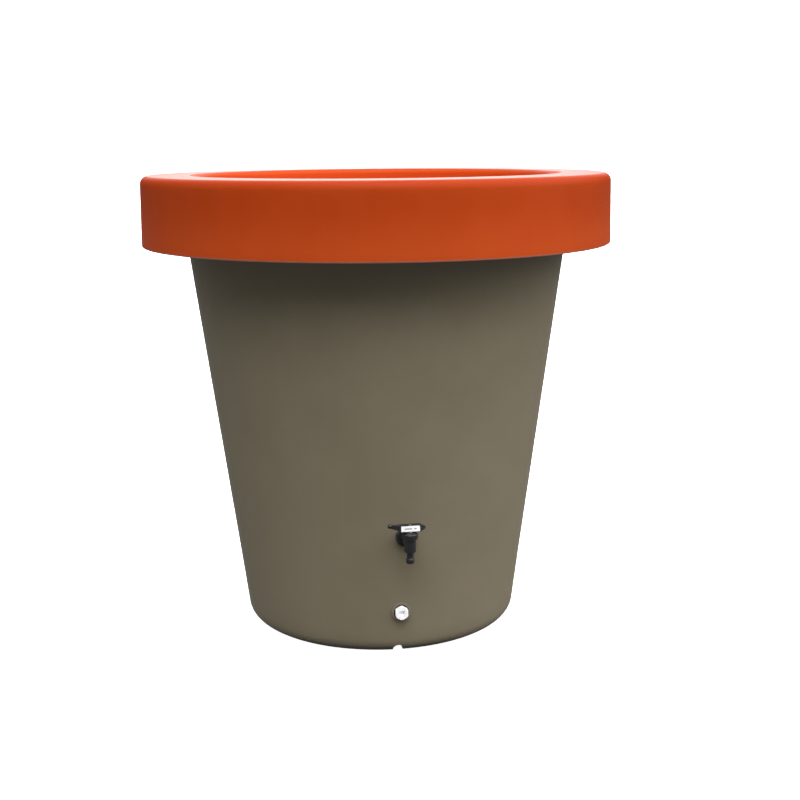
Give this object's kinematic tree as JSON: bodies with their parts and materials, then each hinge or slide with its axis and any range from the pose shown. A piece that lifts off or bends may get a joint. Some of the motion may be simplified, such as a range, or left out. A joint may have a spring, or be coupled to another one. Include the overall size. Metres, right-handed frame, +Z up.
{
  "type": "rain barrel",
  "caption": "Tapered moulded rain barrel with a wide flat collar lid, debris strainer, quarter-turn spigot, drain plug and overflow.",
  "frame": {"origin": "centre of the foot, on the floor", "axes": "+Z up along the tank's axis, -Y out through the spigot and the drain plug, +Y out through the overflow, X to complete a right-handed frame"},
  "size_m": [0.9158, 0.9158, 0.892],
  "materials": {
    "tank_plastic": "satin moulded plastic, fine orange-peel grain, olive taupe",
    "lid_plastic": "satin moulded plastic, terracotta orange",
    "spigot_plastic": "black glass-filled plastic, slightly glossy",
    "frame_plastic": "black moulded plastic",
    "white_plastic": "white moulded plastic",
    "label_white": null,
    "steel": "stainless steel",
    "brass_insert": "turned brass",
    "seal_rubber": "black seal rubber"
  },
  "bodies": {
    "tank": {"barrel_body": "tank_plastic", "spigot_body": "spigot_plastic", "spigot_outer_gasket": "seal_rubber", "spigot_inner_gasket": "seal_rubber", "spigot_locknut": "spigot_plastic", "spigot_bonnet": "spigot_plastic", "drain_insert": "brass_insert", "overflow_fitting": "spigot_plastic", "overflow_outer_gasket": "seal_rubber", "overflow_inner_gasket": "seal_rubber", "overflow_locknut": "spigot_plastic"},
    "lid": {"collar_lid": "lid_plastic"},
    "strainer": {"strainer_frame": "frame_plastic", "strainer_mesh": "steel", "strainer_clamp_ring": "frame_plastic", "strainer_screws": "steel", "strainer_knob": "frame_plastic"},
    "spigot_valve": {"spigot_valve_plug": "white_plastic", "spigot_o_rings": "seal_rubber", "spigot_handle": "spigot_plastic", "spigot_handle_screw": "steel", "handle_label": "label_white"},
    "drain_seal_carrier": {"drain_seal": "seal_rubber"},
    "drain_screw": {"drain_plug": "white_plastic"}
  },
  "joints": [
    {"name": "lid_lift", "type": "slide", "parent": "tank", "child": "lid", "axis": [0, 0, 1], "range_m": [0, 0.3]},
    {"name": "strainer_lift", "type": "slide", "parent": "lid", "child": "strainer", "axis": [0, 0, 1], "range_m": [0, 0.2]},
    {"name": "spigot_handle_turn", "type": "hinge", "parent": "tank", "child": "spigot_valve", "pos_m": [0.00676, -0.35194, 0.272], "axis": [0, 0, 1], "range_deg": [0, 90]},
    {"name": "drain_plug_slide", "type": "slide", "parent": "tank", "child": "drain_seal_carrier", "axis": [0, -1, 0], "range_m": [0, 0.02]},
    {"name": "drain_plug_turn", "type": "hinge", "parent": "drain_seal_carrier", "child": "drain_screw", "pos_m": [0, -0.2845, 0.0885], "axis": [0, -1, 0], "range_deg": [0, 3970]}
  ],
  "couplings": [
    {"joint": "drain_plug_turn", "follows": "drain_plug_slide", "rad_per_m": 3463.7}
  ]
}
